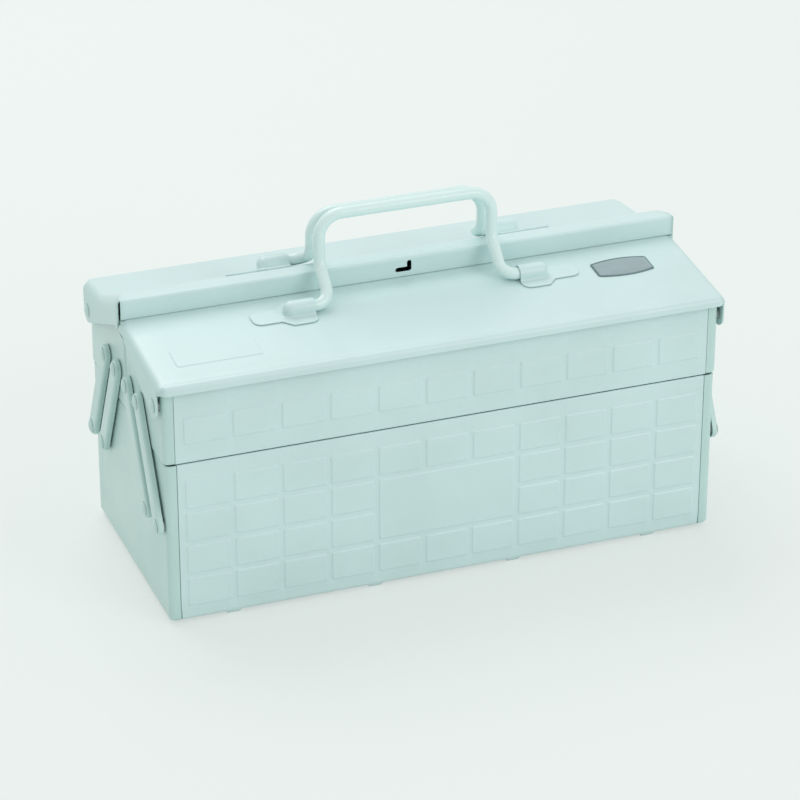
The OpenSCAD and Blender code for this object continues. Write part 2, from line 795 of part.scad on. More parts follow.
// Plain plate on the front lid, bulging along its two long edges
module name_plate() {
    r = (plate_l * plate_l / 4 + plate_bulge * plate_bulge) / (2 * plate_bulge);
    color(plate_grey) on_lid(plate_x, plate_y) linear_extrude(height = plate_t)
        intersection() {
            square([plate_l, plate_w], center = true);
            translate([0, plate_w / 2 - r]) circle(r);
            translate([0, r - plate_w / 2]) circle(r);
        }
}

base_wrap();
base_left_end();
base_right_end();
front_tray_wrap();
front_tray_left_end();
front_tray_right_end();
back_tray_wrap();
back_tray_left_end();
back_tray_right_end();
front_lid();
back_lid();
front_handle();
back_handle();
front_left_saddle();
front_right_saddle();
back_left_saddle();
back_right_saddle();
front_outer_left_link();
front_outer_right_link();
front_inner_left_link();
front_inner_right_link();
back_outer_left_link();
back_outer_right_link();
back_inner_left_link();
back_inner_right_link();
base_link_rivets();
front_tray_link_rivets();
back_tray_link_rivets();
base_link_washers();
front_tray_link_washers();
back_tray_link_washers();
front_hinge_rivets();
back_hinge_rivets();
front_hinge_washers();
back_hinge_washers();
name_plate();
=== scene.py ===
# Cantilever toolbox in pale enamelled sheet steel.
# Lengths are in millimetres and become metres where a mesh is made.
import math
import bmesh
import bpy
from mathutils import Matrix, Vector


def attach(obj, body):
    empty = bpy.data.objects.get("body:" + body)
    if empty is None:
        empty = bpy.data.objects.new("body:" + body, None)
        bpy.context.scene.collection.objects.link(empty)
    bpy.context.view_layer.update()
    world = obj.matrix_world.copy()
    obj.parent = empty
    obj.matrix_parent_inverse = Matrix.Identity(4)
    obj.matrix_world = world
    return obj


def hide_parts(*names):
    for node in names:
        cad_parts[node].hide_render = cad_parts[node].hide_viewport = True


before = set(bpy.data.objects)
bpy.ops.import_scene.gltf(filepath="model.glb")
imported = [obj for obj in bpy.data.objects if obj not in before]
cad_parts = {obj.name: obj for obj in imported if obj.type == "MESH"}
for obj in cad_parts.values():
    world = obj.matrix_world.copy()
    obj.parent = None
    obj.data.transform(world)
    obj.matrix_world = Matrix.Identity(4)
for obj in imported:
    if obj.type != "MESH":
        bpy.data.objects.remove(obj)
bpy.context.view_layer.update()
mm = 0.001
mergeGap = 0.004  # points closer than this become one
sheetBend = 38  # a bend sharper than this many degrees is an edge
foldedEdge = 32  # the same for a lid

# Main sizes, most of them as in part.scad
box = {
    "endX": 171.5, "trayX": 172.2, "lidX": 175.7, "halfDepth": 74.1, "lidY": 79.5,
    "footHeight": 2.0, "baseTop": 104.12, "trayZ": 104.4, "rimZ": 154.0,
    "eaveZ": 156.3, "foldZ": 164.2, "ridgeZ": 176.7, "skirtZ": 151.2, "lipZ": 164.8,
    "sheet": 1.0, "skin": 0.94, "halfGap": 0.6, "baseSeam": 0.45, "traySeam": 0.3,
    "hingeY": 67.0, "hingeZ": 141.0, "tabRadius": 7.5,
}
lidSlope = (box["foldZ"] - box["eaveZ"]) / box["lidY"]
lidAngle = math.atan(lidSlope)
sides = (("left", -1), ("right", 1))
halves = (("front", -1), ("back", 1))


def heading(degrees):
    a = math.radians(degrees)
    return math.cos(a), math.sin(a)


def arc(cx, cy, radius, start, end, steps):
    ways = [heading(start + (end - start) * i / steps) for i in range(steps + 1)]
    return [(cx + radius * c, cy + radius * s) for c, s in ways]


def softStep(t):
    t = min(1.0, max(0.0, t))
    return t * t * (3 - 2 * t)


def gridFaces(rows, columns, first=0, closed=False):
    out = []
    for i in range(rows - 1):
        for j in range(columns if closed else columns - 1):
            k = (j + 1) % columns
            a = first + i * columns
            out.append((a + j, a + columns + j, a + columns + k, a + k))
    return out


def mirrored(verts, faces, sx, sy):
    out = [(x * sx, y * sy, z) for x, y, z in verts]
    return out, [tuple(reversed(f)) for f in faces] if sx * sy < 0 else faces


def tilted(verts, angle, at):  # turned about X, then moved
    spin = Matrix.Rotation(angle, 4, "X")
    out = []
    for v in verts:
        p = spin @ Vector(v)
        out.append((p.x + at[0], p.y + at[1], p.z + at[2]))
    return out


def addObject(name, data):
    obj = bpy.data.objects.new(name, data)
    bpy.context.collection.objects.link(obj)
    return obj


def meshObject(name, verts, faces, middle=None):
    mesh = bpy.data.meshes.new(name)
    mesh.from_pydata([(x * mm, y * mm, z * mm) for x, y, z in verts], [], faces)
    bm = bmesh.new()
    bm.from_mesh(mesh)
    bmesh.ops.remove_doubles(bm, verts=bm.verts, dist=mergeGap * mm)
    if middle:  # an open sheet: faces look away from its middle
        bmesh.ops.recalc_face_normals(bm, faces=bm.faces)
        m = Vector(middle) * mm
        if sum(f.normal.dot(f.calc_center_median() - m) * f.calc_area() for f in bm.faces) < 0:
            bmesh.ops.reverse_faces(bm, faces=bm.faces)
    bm.to_mesh(mesh)
    bm.free()
    return addObject(name, mesh)


def faceOutwards(obj):  # for a closed shape
    bm = bmesh.new()
    bm.from_mesh(obj.data)
    bmesh.ops.recalc_face_normals(bm, faces=bm.faces)
    bm.to_mesh(obj.data)
    bm.free()
    return obj


def shadeSoft(obj, degrees):
    obj.data.shade_smooth()
    obj.data.set_sharp_from_angle(angle=math.radians(degrees))
    return obj


def settle(obj):  # modifiers become plain mesh
    bpy.context.view_layer.update()
    graph = bpy.context.evaluated_depsgraph_get()
    mesh = bpy.data.meshes.new_from_object(obj.evaluated_get(graph))
    obj.modifiers.clear()
    old = obj.data
    obj.data = mesh
    bpy.data.meshes.remove(old)
    return obj


def finishSheet(obj, thickness=box["skin"], edge=0):
    solid = obj.modifiers.new("thickness", "SOLIDIFY")
    solid.thickness = thickness * mm
    solid.offset = -1
    solid.use_even_offset = False
    settle(obj)
    if edge:
        bevel = obj.modifiers.new("edge", "BEVEL")
        bevel.width = edge * mm
        bevel.segments = 2
        bevel.limit_method = "ANGLE"
        bevel.angle_limit = math.radians(sheetBend)
        bevel.use_clamp_overlap = True
        obj.data.shade_smooth()
        weighted = obj.modifiers.new("normals", "WEIGHTED_NORMAL")
        weighted.weight = 70
        settle(obj)
    else:
        shadeSoft(obj, sheetBend)
    return obj


def place(obj, material, body, nodes):
    obj.data.materials.clear()
    obj.data.materials.append(material)
    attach(obj, body)
    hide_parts(*nodes)


def tone(r, g, b):
    lin = [(c / 255 / 12.92 if c < 11 else ((c / 255 + 0.055) / 1.055) ** 2.4) for c in (r, g, b)]
    return (*lin, 1.0)


def shaded(colour, amount):
    return tuple(min(1, c * amount) for c in colour[:3]) + (1,)


def newMaterial(name):
    mat = bpy.data.materials.new(name)
    mat.use_nodes = True
    tree = mat.node_tree
    coords = tree.nodes.new("ShaderNodeTexCoord").outputs["Object"]
    return mat, tree, tree.nodes["Principled BSDF"], coords


def noiseNode(tree, coords, scale, detail, rough):
    node = tree.nodes.new("ShaderNodeTexNoise")
    node.inputs["Scale"].default_value = scale
    node.inputs["Detail"].default_value = detail
    node.inputs["Roughness"].default_value = rough
    tree.links.new(coords, node.inputs["Vector"])
    return node.outputs["Fac"]


def rampNode(tree, source, stops):
    node = tree.nodes.new("ShaderNodeValToRGB")
    ramp = node.color_ramp
    while len(ramp.elements) < len(stops):
        ramp.elements.new(0.5)
    for element, (position, colour) in zip(ramp.elements, stops):
        element.position = position
        element.color = colour
    tree.links.new(source, node.inputs["Fac"])
    return node.outputs["Color"]


def rangeNode(tree, source, low, high, start=0.35, end=0.65):
    node = tree.nodes.new("ShaderNodeMapRange")
    node.inputs["From Min"].default_value = start
    node.inputs["From Max"].default_value = end
    node.inputs["To Min"].default_value = low
    node.inputs["To Max"].default_value = high
    tree.links.new(source, node.inputs["Value"])
    return node.outputs["Result"]


def bumpNode(tree, height, strength, distance, before=None):
    node = tree.nodes.new("ShaderNodeBump")
    node.inputs["Strength"].default_value = strength
    node.inputs["Distance"].default_value = distance * mm
    tree.links.new(height, node.inputs["Height"])
    if before:
        tree.links.new(before, node.inputs["Normal"])
    return node.outputs["Normal"]


def mathNodes(tree):
    def op(operation, *values):
        node = tree.nodes.new("ShaderNodeMath")
        node.operation = operation
        for socket, value in zip(node.inputs, values):
            if isinstance(value, (int, float)):
                socket.default_value = value
            else:
                tree.links.new(value, socket)
        return node.outputs[0]

    return op


enamelLook = {
    "coat": 0.2, "coatRough": 0.2, "cloud": 14, "deep": 0.955, "pale": 1.03, "smear": 38,
    "glossier": 0.05, "duller": 0.07, "wave": 22, "waveStrength": 0.35, "waveHeight": 0.25,
    "peelScale": 620, "peel": 0.16, "peelHeight": 0.03,
}
lidEndShade = {"start": 171.0, "full": 175.0}  # where a lid's tone turns to the painted shade of its end walls


def enamel(name, colour, rough=0.37, ends=None):
    mat, tree, shader, coords = newMaterial(name)
    deep, pale = shaded(colour, enamelLook["deep"]), shaded(colour, enamelLook["pale"])
    cloud = noiseNode(tree, coords, enamelLook["cloud"], 4, 0.55)
    base = rampNode(tree, cloud, [(0.3, deep), (0.52, colour), (0.72, pale)])
    # painted shade: by the object's X the colour turns darker towards the lid's end walls
    if ends:
        apart = tree.nodes.new("ShaderNodeSeparateXYZ")
        tree.links.new(coords, apart.inputs[0])
        mix = tree.nodes.new("ShaderNodeMix")
        mix.data_type = "RGBA"
        away = mathNodes(tree)("ABSOLUTE", apart.outputs["X"])
        tree.links.new(rangeNode(tree, away, 0, 1, lidEndShade["start"] * mm, lidEndShade["full"] * mm),
                       mix.inputs[0])
        tree.links.new(base, mix.inputs[6])
        mix.inputs[7].default_value = ends
        base = mix.outputs[2]
    tree.links.new(base, shader.inputs["Base Color"])
    smear = noiseNode(tree, coords, enamelLook["smear"], 5, 0.6)
    tree.links.new(rangeNode(tree, smear, rough - enamelLook["glossier"], rough + enamelLook["duller"]),
                   shader.inputs["Roughness"])
    wave = bumpNode(tree, noiseNode(tree, coords, enamelLook["wave"], 2, 0.4),
                    enamelLook["waveStrength"], enamelLook["waveHeight"])
    peel = bumpNode(tree, noiseNode(tree, coords, enamelLook["peelScale"], 2, 0.5),
                    enamelLook["peel"], enamelLook["peelHeight"], wave)
    tree.links.new(peel, shader.inputs["Normal"])
    shader.inputs["Coat Weight"].default_value = enamelLook["coat"]
    shader.inputs["Coat Roughness"].default_value = enamelLook["coatRough"]
    return mat


metalLook = {"grain": 60, "deep": 0.86, "smoother": 0.06, "rougher": 0.08, "scratch": 0.2,
             "scratchHeight": 0.03, "metallic": 0.55}


def bareMetal(name, colour, rough, grain):
    mat, tree, shader, coords = newMaterial(name)
    mapping = tree.nodes.new("ShaderNodeMapping")
    mapping.inputs["Scale"].default_value = grain
    tree.links.new(coords, mapping.inputs["Vector"])
    brushed = noiseNode(tree, mapping.outputs["Vector"], metalLook["grain"], 4, 0.6)
    tree.links.new(rampNode(tree, brushed, [(0.3, shaded(colour, metalLook["deep"])), (0.7, colour)]),
                   shader.inputs["Base Color"])
    tree.links.new(rangeNode(tree, brushed, rough - metalLook["smoother"], rough + metalLook["rougher"]),
                   shader.inputs["Roughness"])
    tree.links.new(bumpNode(tree, brushed, metalLook["scratch"], metalLook["scratchHeight"]),
                   shader.inputs["Normal"])
    shader.inputs["Metallic"].default_value = metalLook["metallic"]
    return mat


paint = enamel("paleEnamel", tone(203, 228, 227))
# painted shade: a darker copy of the pale enamel for the end panels and for the links and rivets on the ends
endShadePaint = enamel("endEnamelShade", tone(189, 218, 213))
lidShadedEndsPaint = enamel("lidEnamelShadedEnds", tone(203, 228, 227), ends=tone(186, 216, 212))
# painted light: a lighter copy of the pale enamel for the handle rods
rodLitPaint = enamel("rodEnamelLit", tone(216, 239, 236), 0.24)
steel = bareMetal("spacerSteel", tone(158, 169, 168), 0.5, (1, 30, 30))
plateGrey = bareMetal("plateGrey", tone(164, 182, 186), 0.42, (1, 14, 14))
plateEdge = bareMetal("plateEdge", tone(112, 136, 138), 0.45, (1, 14, 14))
print("materials ready")


def newRecipe(name, inputs):
    tree = bpy.data.node_groups.new(name, "GeometryNodeTree")
    face = tree.interface
    face.new_socket("Geometry", in_out="INPUT", socket_type="NodeSocketGeometry")
    for label, kind in inputs:
        face.new_socket(label, in_out="INPUT", socket_type="NodeSocket" + kind)
    face.new_socket("Geometry", in_out="OUTPUT", socket_type="NodeSocketGeometry")
    return tree, tree.nodes.new("NodeGroupInput").outputs


def runRecipe(obj, tree, values):
    modifier = obj.modifiers.new(tree.name, "NODES")
    modifier.node_group = tree
    for item in tree.interface.items_tree:
        if item.in_out == "INPUT" and item.name in values:
            modifier[item.identifier] = values[item.name]
    return settle(obj)


def closeRecipe(tree, geometry, material):
    realize = tree.nodes.new("GeometryNodeRealizeInstances")
    finish = tree.nodes.new("GeometryNodeSetMaterial")
    out = tree.nodes.new("NodeGroupOutput")
    tree.links.new(geometry, realize.inputs["Geometry"])
    tree.links.new(realize.outputs["Geometry"], finish.inputs["Geometry"])
    tree.links.new(material, finish.inputs["Material"])
    tree.links.new(finish.outputs["Geometry"], out.inputs["Geometry"])


def insideCell(tree, across, up, halfAcross, halfUp, radius, shoulder):
    # how far inside a round-cornered rectangle a point lies, from 0 at its edge to 1
    op = mathNodes(tree)
    qx = op("SUBTRACT", across, op("SUBTRACT", halfAcross, radius))
    qz = op("SUBTRACT", up, op("SUBTRACT", halfUp, radius))
    px, pz = op("MAXIMUM", qx, 0.0), op("MAXIMUM", qz, 0.0)
    corner = op("SQRT", op("ADD", op("MULTIPLY", px, px), op("MULTIPLY", pz, pz)))
    flat = op("MINIMUM", op("MAXIMUM", qx, qz), 0.0)
    away = op("SUBTRACT", op("ADD", corner, flat), radius)
    soft = tree.nodes.new("ShaderNodeMapRange")
    soft.interpolation_type = "SMOOTHSTEP"
    tree.links.new(op("DIVIDE", away, shoulder), soft.inputs["Value"])
    soft.inputs["From Min"].default_value = 0.0
    soft.inputs["From Max"].default_value = -1.0
    return soft.outputs["Result"]


def pressingRecipe():
    numbers = ("Column pitch", "Row pitch", "Groove", "First row", "Rows", "Pattern length", "Depth",
               "Shoulder", "Corner radius", "Blank half length", "Blank half height", "Blank middle", "Wall")
    tree, given = newRecipe("pressedPanels", [*((n, "Float") for n in numbers), ("Material", "Material")])
    op = mathNodes(tree)
    where = tree.nodes.new("ShaderNodeSeparateXYZ")
    tree.links.new(tree.nodes.new("GeometryNodeInputPosition").outputs[0], where.inputs[0])
    x, y, z = where.outputs
    halfLength = op("DIVIDE", given["Pattern length"], 2.0)
    halfGroove = op("DIVIDE", given["Groove"], 2.0)
    blankAcross, blankUp = given["Blank half length"], given["Blank half height"]
    bends = given["Corner radius"], given["Shoulder"]

    def folded(value, pitch):  # distance from the middle of the nearest cell
        part = op("FLOORED_MODULO", value, pitch)
        return op("ABSOLUTE", op("SUBTRACT", part, op("DIVIDE", pitch, 2.0)))

    def halfCell(pitch):
        return op("SUBTRACT", op("DIVIDE", pitch, 2.0), halfGroove)

    fromLow = op("ADD", op("SUBTRACT", z, given["First row"]), halfGroove)
    cells = insideCell(tree, folded(op("ADD", x, halfLength), given["Column pitch"]),
                       folded(fromLow, given["Row pitch"]), halfCell(given["Column pitch"]),
                       halfCell(given["Row pitch"]), *bends)
    ax = op("ABSOLUTE", x)
    inLength = op("LESS_THAN", ax, halfLength)
    inHeight = op("MULTIPLY", op("GREATER_THAN", fromLow, 0.0),
                  op("LESS_THAN", fromLow, op("MULTIPLY", given["Rows"], given["Row pitch"])))
    cells = op("MULTIPLY", cells, op("MULTIPLY", inLength, inHeight))
    az = op("ABSOLUTE", op("SUBTRACT", z, given["Blank middle"]))
    blank = insideCell(tree, ax, az, blankAcross, blankUp, *bends)
    inBlank = op("MULTIPLY", op("LESS_THAN", ax, op("ADD", blankAcross, halfGroove)),
                 op("LESS_THAN", az, op("ADD", blankUp, halfGroove)))
    rise = op("ADD", op("MULTIPLY", blank, inBlank), op("MULTIPLY", cells, op("SUBTRACT", 1.0, inBlank)))
    onWall = op("GREATER_THAN", op("ABSOLUTE", y), given["Wall"])
    push = op("MULTIPLY", op("MULTIPLY", rise, given["Depth"]), op("MULTIPLY", onWall, op("SIGN", y)))
    offset = tree.nodes.new("ShaderNodeCombineXYZ")
    tree.links.new(push, offset.inputs["Y"])
    move = tree.nodes.new("GeometryNodeSetPosition")
    tree.links.new(given["Geometry"], move.inputs["Geometry"])
    tree.links.new(offset.outputs[0], move.inputs["Offset"])
    closeRecipe(tree, move.outputs["Geometry"], given["Material"])
    return tree


def fastenerRecipe():
    # one fastener on every point, turned by the point's own attribute
    tree, given = newRecipe("fasteners", [("Fastener", "Object"), ("Material", "Material")])
    info = tree.nodes.new("GeometryNodeObjectInfo")
    info.inputs["As Instance"].default_value = True
    tree.links.new(given["Fastener"], info.inputs["Object"])
    turn = tree.nodes.new("GeometryNodeInputNamedAttribute")
    turn.data_type = "FLOAT_VECTOR"
    turn.inputs["Name"].default_value = "turn"
    euler = tree.nodes.new("FunctionNodeEulerToRotation")
    tree.links.new(turn.outputs["Attribute"], euler.inputs[0])
    put = tree.nodes.new("GeometryNodeInstanceOnPoints")
    tree.links.new(given["Geometry"], put.inputs["Points"])
    tree.links.new(info.outputs["Geometry"], put.inputs["Instance"])
    tree.links.new(euler.outputs[0], put.inputs["Rotation"])
    closeRecipe(tree, put.outputs["Instances"], given["Material"])
    return tree


pressedPanels = pressingRecipe()
fasteners = fastenerRecipe()

press = {
    "pitch": 29.4, "groove": 2.4, "depth": 0.6, "shoulder": 1.1, "cornerRadius": 1.3,
    "columns": 11, "baseRows": 4, "baseFirst": 11.0, "baseRowPitch": 21.3,
    "trayFirst": 116.4, "trayCell": 17.6, "baseFold": 3.0, "trayFold": 1.8, "hem": 7.0,
    "sheetEnd": 6.6, "lapIn": 3.0, "lapOut": 4.0, "lapStep": 0.02, "blankHalfLength": 42.9,
    "lines": (0.0, 0.22, 0.44, 0.66, 0.88, 1.1, 1.5), "wallDepth": 0.5, "relief": 0.55,
    "footX": (44.0, 132.0), "footHalfWidth": 4.75, "footHalfLength": 73.0, "footSide": 1.3,
    "footEnd": 2.2, "sideLines": (0, 0.3, 0.65, 1.0, 1.3), "endLines": (0, 0.6, 1.1, 1.6, 2.2),
    "lineGap": 0.1,
}


def pressLines(first, pitch, count):
    out = []
    for i in range(count):
        low, high = first + i * pitch, first + (i + 1) * pitch - press["groove"]
        out += [low + o for o in press["lines"]] + [high - o for o in press["lines"]]
    return out


def tidyLines(values, low, high, close=0.08):
    out = [low]
    for v in sorted(values):
        if v - out[-1] > close and high - v > close:
            out.append(v)
    return out + [high]


def channel(y0, y1, z0, z1, fold, wallLines, floorLines, inset=0.0, hem=True):
    # outer face of a folded sheet, from inside the front rim down, across and up again
    s, r, gap = box["sheet"], fold - inset, press["lineGap"]
    y0, y1, z0 = y0 + inset, y1 - inset, z0 + inset
    low = z0 + r
    top = z1 - s if hem else z1
    front = [(y0, z) for z in sorted(wallLines, reverse=True) if low + gap < z < top - gap]
    back = [(y1, z) for z in sorted(wallLines) if low + gap < z < top - gap]
    out = [(y0, top)] + front + arc(y0 + r, z0 + r, r, 180, 270, 6)
    out += [(y, z0) for y in floorLines if y0 + r + gap < y < y1 - r - gap]
    out += arc(y1 - r, z0 + r, r, 270, 360, 6) + back + [(y1, top)]
    if hem:
        out = [(y0 + 2 * s, top - press["hem"])] + arc(y0 + s, top, s, 0, 180, 6) + out[1:]
        out = out[:-1] + arc(y1 - s, top, s, 0, 180, 6) + [(y1 - 2 * s, top - press["hem"])]
    return out


def footDrop(x, y):
    # how far a pressed foot stands below the bottom sheet
    across = min(abs(abs(x) - f) for f in press["footX"]) - press["footHalfWidth"]
    away = max(across / press["footSide"], (abs(y) - press["footHalfLength"]) / press["footEnd"])
    return box["footHeight"] * softStep(-away)


def wrapSheet(name, halfLength, y0, y1, z0, z1, fold, wallLines, feet, blank, first, pitch, rows, seam):
    floorLines = [y0 + (y1 - y0) * i / 4 for i in range(5)]
    if feet:
        floorLines += [s * (press["footHalfLength"] - o) for s in (-1, 1) for o in press["endLines"]]
    edge = halfLength - press["sheetEnd"] - seam
    xs = list(columnLines)
    if feet:
        xs += [s * (f + t * (press["footHalfWidth"] - o)) for s in (-1, 1) for f in press["footX"]
               for t in (-1, 1) for o in press["sideLines"]]
    xs = tidyLines(xs, -edge, edge)
    outline = channel(y0, y1, z0, z1, fold, wallLines, sorted(floorLines))
    verts = [(x, y, min(z, z0 + fold - (z0 + fold - z + footDrop(x, y)
                                       * (1 + (z - z0) / box["footHeight"]))))
              if feet and z < z0 + fold else (x, y, z) for y, z in outline for x in xs]
    if feet:  # the sheet's corners are relieved at the lower fold
        verts = [(x - math.copysign(press["relief"], x)
                  if abs(x) > edge - mergeGap and z < z0 + fold + press["lineGap"] else x, y, z)
                 for x, y, z in verts]
    middle = (0, (y0 + y1) / 2, (z0 + z1) / 2)
    sheet = meshObject(name, verts, gridFaces(len(outline), len(xs)), middle)
    runRecipe(sheet, pressedPanels, {
        "Column pitch": press["pitch"] * mm, "Row pitch": pitch * mm, "Groove": press["groove"] * mm,
        "First row": first * mm, "Rows": float(rows),
        "Pattern length": press["pitch"] * press["columns"] * mm, "Depth": press["depth"] * mm,
        "Shoulder": press["shoulder"] * mm, "Corner radius": press["cornerRadius"] * mm,
        "Blank half length": blank[0] * mm, "Blank half height": blank[1] * mm,
        "Blank middle": blank[2] * mm, "Wall": (box["halfDepth"] - press["wallDepth"]) * mm,
        "Material": paint})
    finishSheet(sheet)
    # the sheet steps in behind the end panels' flanges
    inner = channel(y0, y1, z0, z1 - box["sheet"], fold, [], [], box["sheet"] + press["lapStep"], False)
    verts, faces = [], []
    for s in (-1, 1):
        ends = sorted((s * (edge - press["lapIn"]), s * (halfLength - press["lapOut"] - seam)))
        faces += gridFaces(len(inner), 2, len(verts))
        verts += [(x, y, z) for y, z in inner for x in ends]
    lap = meshObject(name + "Lap", verts, faces, middle)
    finishSheet(lap)
    return joinObjects([sheet, lap], name)


def joinObjects(objects, name):
    bm = bmesh.new()
    for obj in objects:
        bm.from_mesh(obj.data)
    mesh = bpy.data.meshes.new(name)
    bm.to_mesh(mesh)
    bm.free()
    for obj in objects:
        bpy.data.objects.remove(obj)
    return addObject(name, mesh)


columnLines = pressLines(-press["pitch"] * press["columns"] / 2 + press["groove"] / 2,
                         press["pitch"], press["columns"])
baseRows = pressLines(press["baseFirst"], press["baseRowPitch"], press["baseRows"])
trayPitch = press["trayCell"] + press["groove"]
trayRows = pressLines(press["trayFirst"], trayPitch, 1)

blankHalf = press["baseRowPitch"] - press["groove"] / 2
baseSheet = wrapSheet("baseSheet", box["endX"], -box["halfDepth"], box["halfDepth"],
                      box["footHeight"], box["baseTop"], press["baseFold"], baseRows, True,
                      (press["blankHalfLength"], blankHalf,
                       press["baseFirst"] + press["baseRowPitch"] + blankHalf),
                      press["baseFirst"], press["baseRowPitch"], press["baseRows"], box["baseSeam"])
place(baseSheet, paint, "base", ["base_wrap"])
for half, s in halves:
    ys = sorted((s * box["halfDepth"], s * box["halfGap"]))
    traySheet = wrapSheet(half + "TraySheet", box["trayX"], ys[0], ys[1], box["trayZ"], box["rimZ"],
                          press["trayFold"], trayRows, False, (0.0, 0.0, 0.0),
                          press["trayFirst"], trayPitch, 1, box["traySeam"])
    place(traySheet, paint, half + "_tray", [half + "_tray_wrap"])
print("pressed sheets ready")

panel = {"foldY": 3.0, "baseFold": 3.0, "trayFold": 1.8, "foldX": 4.0, "centreFoldX": 3.0,
         "lowDepth": 4.2, "steps": 7, "rimLift": 0.9, "edge": 0.2}


def endPanel(x0, y0, y1, z0, z1, depth0, depth1, low):
    # left end panel: flat wall, soft folds and flanges on three sides, hem on the rim
    r, s, n, depth = panel["foldY"], box["sheet"], panel["steps"], panel["lowDepth"]
    top = z1 - s
    edge = [((y0 + r, top), (-1, 0), depth0)]
    edge += [((y0 + r, z0 + low), heading(a), depth0 + (depth - depth0) * (a - 180) / 90)
             for a in range(180, 271, 15)]
    edge += [((y1 - r, z0 + low), heading(a), depth + (depth1 - depth) * (a - 270) / 90)
             for a in range(270, 361, 15)]
    edge.append(((y1 - r, top), (1, 0), depth1))
    verts, count = [], len(edge)
    for k in range(n + 2):
        a = math.radians(90 * min(k, n) / n)
        for i, ((y, z), (dy, dz), deep) in enumerate(edge):
            lift = panel["rimLift"] if k and i in (0, count - 1) else 0
            x = deep * (1 - math.cos(a)) if k <= n else press["sheetEnd"]
            verts.append((x0 + x, y + dy * r * math.sin(a), z + dz * low * math.sin(a) + lift))
    faces = gridFaces(n + 2, count)
    faces.append(tuple(range(count)))
    hem = arc(x0 + s, top, s, 180, 0, 6) + [(x0 + 2 * s, top - press["hem"])]
    first = len(verts)
    verts += [(x, y, z) for x, z in hem for y in (y0 + r, y1 - r)]
    faces += gridFaces(len(hem), 2, first)
    return verts, faces


def makeEnd(name, body, node, x0, y0, y1, z0, z1, depth0, depth1, fold, sx, sy):
    verts, faces = mirrored(*endPanel(x0, y0, y1, z0, z1, depth0, depth1, fold), sx, sy)
    obj = meshObject(name, verts, faces, (0, sy * (y0 + y1) / 2, (z0 + z1) / 2))
    finishSheet(obj, edge=panel["edge"])
    place(obj, endShadePaint, body, [node])


for side, sx in sides:
    makeEnd("base" + side.title() + "End", "base", "base_%s_end" % side, -box["endX"],
            -box["halfDepth"], box["halfDepth"], box["footHeight"], box["baseTop"],
            panel["foldX"], panel["foldX"], panel["baseFold"], -sx, 1)
    for half, sy in halves:
        makeEnd(half + "Tray" + side.title() + "End", half + "_tray", "%s_tray_%s_end" % (half, side),
                -box["trayX"], -box["halfDepth"], -box["halfGap"], box["trayZ"], box["rimZ"],
                panel["foldX"], panel["centreFoldX"], panel["trayFold"], -sx, -sy)
print("end panels ready")

lid = {
    "endFold": 6.0, "ridgeEnd": 6.5, "eaveFold": 3.0, "steps": 8, "cornerSteps": 6, "corner": 6.0,
    "leastSkirt": 0.15, "columns": (-80, 0, 80), "frontRows": (66, 50, 30, 15), "backRows": (62, 54),
    "rampRows": (36, 22), "topRow": 4, "eaveRows": 14, "eaveRow": 0.5, "centre": 0.6,
    "insideY": 40, "insideZ": 130, "slantY": 7.6, "wallDrop": 0.2, "tabSteps": 14, "tabGap": 0.05,
    "ridgeFoot": 46.0, "ridgeTop": 9.8, "footBend": 2.6, "topBend": 1.8, "bend": 0.18,
    "hipAt": 3.0, "hipLength": 8.0, "hipHeight": 4.0, "lipY": 1.2, "lipFold": 1.6, "lipEnd": 2.5,
    "lipReach": 0.5, "lipHem": 0.55, "hemTop": 2.8, "lipSheet": 0.5, "lipLap": 2.0, "lipSink": 0.02,
    "openCorner": 0.8, "tongue": 3.0, "tongueDrop": 6.0, "tongueRoot": 3.0, "tongueSink": 0.5,
    "tongueBend": 0.6, "tongueGap": 0.5, "cardX": (-157.8, -107.0), "cardY": (42.5, 59.2),
    "cardLines": (-0.6, -0.3, 0, 0.3, 0.6), "cardRise": 0.45, "cardSoft": 0.7,
    "beadDip": 0.22, "beadAt": 5.6, "beadWidth": 1.5,
}


def lidTop(y):
    return box["foldZ"] - lidSlope * y


def wallOutline():
    # lower edge of a lid's end wall, from the centre fold to the outer side of the hinge tab
    cy, cz, r = box["hingeY"], box["hingeZ"], box["tabRadius"]
    py, pz = lid["slantY"], box["foldZ"] - lid["endFold"] - lid["wallDrop"]
    dy, dz = cy - py, pz - cz
    a = math.atan(dz / dy) + math.asin(r / math.hypot(dy, dz))
    start = math.degrees(math.atan2(-math.cos(a), -math.sin(a)))
    tab = arc(cy, cz, r, start, 0, lid["tabSteps"])
    return [(lid["centre"], pz), (py, pz)] + tab + [(cy + r, box["skirtZ"])]


def roundCorner(v):
    # draws a lid's square corner in to a round one
    x, y, z = v
    ax, ay, r = abs(x) - box["lidX"] + lid["corner"], y - box["lidY"] + lid["corner"], lid["corner"]
    if min(ax, ay) <= 0:
        return v
    pull = max(ax, ay) / math.hypot(ax, ay)
    return (math.copysign(box["lidX"] - r + ax * pull, x), box["lidY"] - r + ay * pull, z)


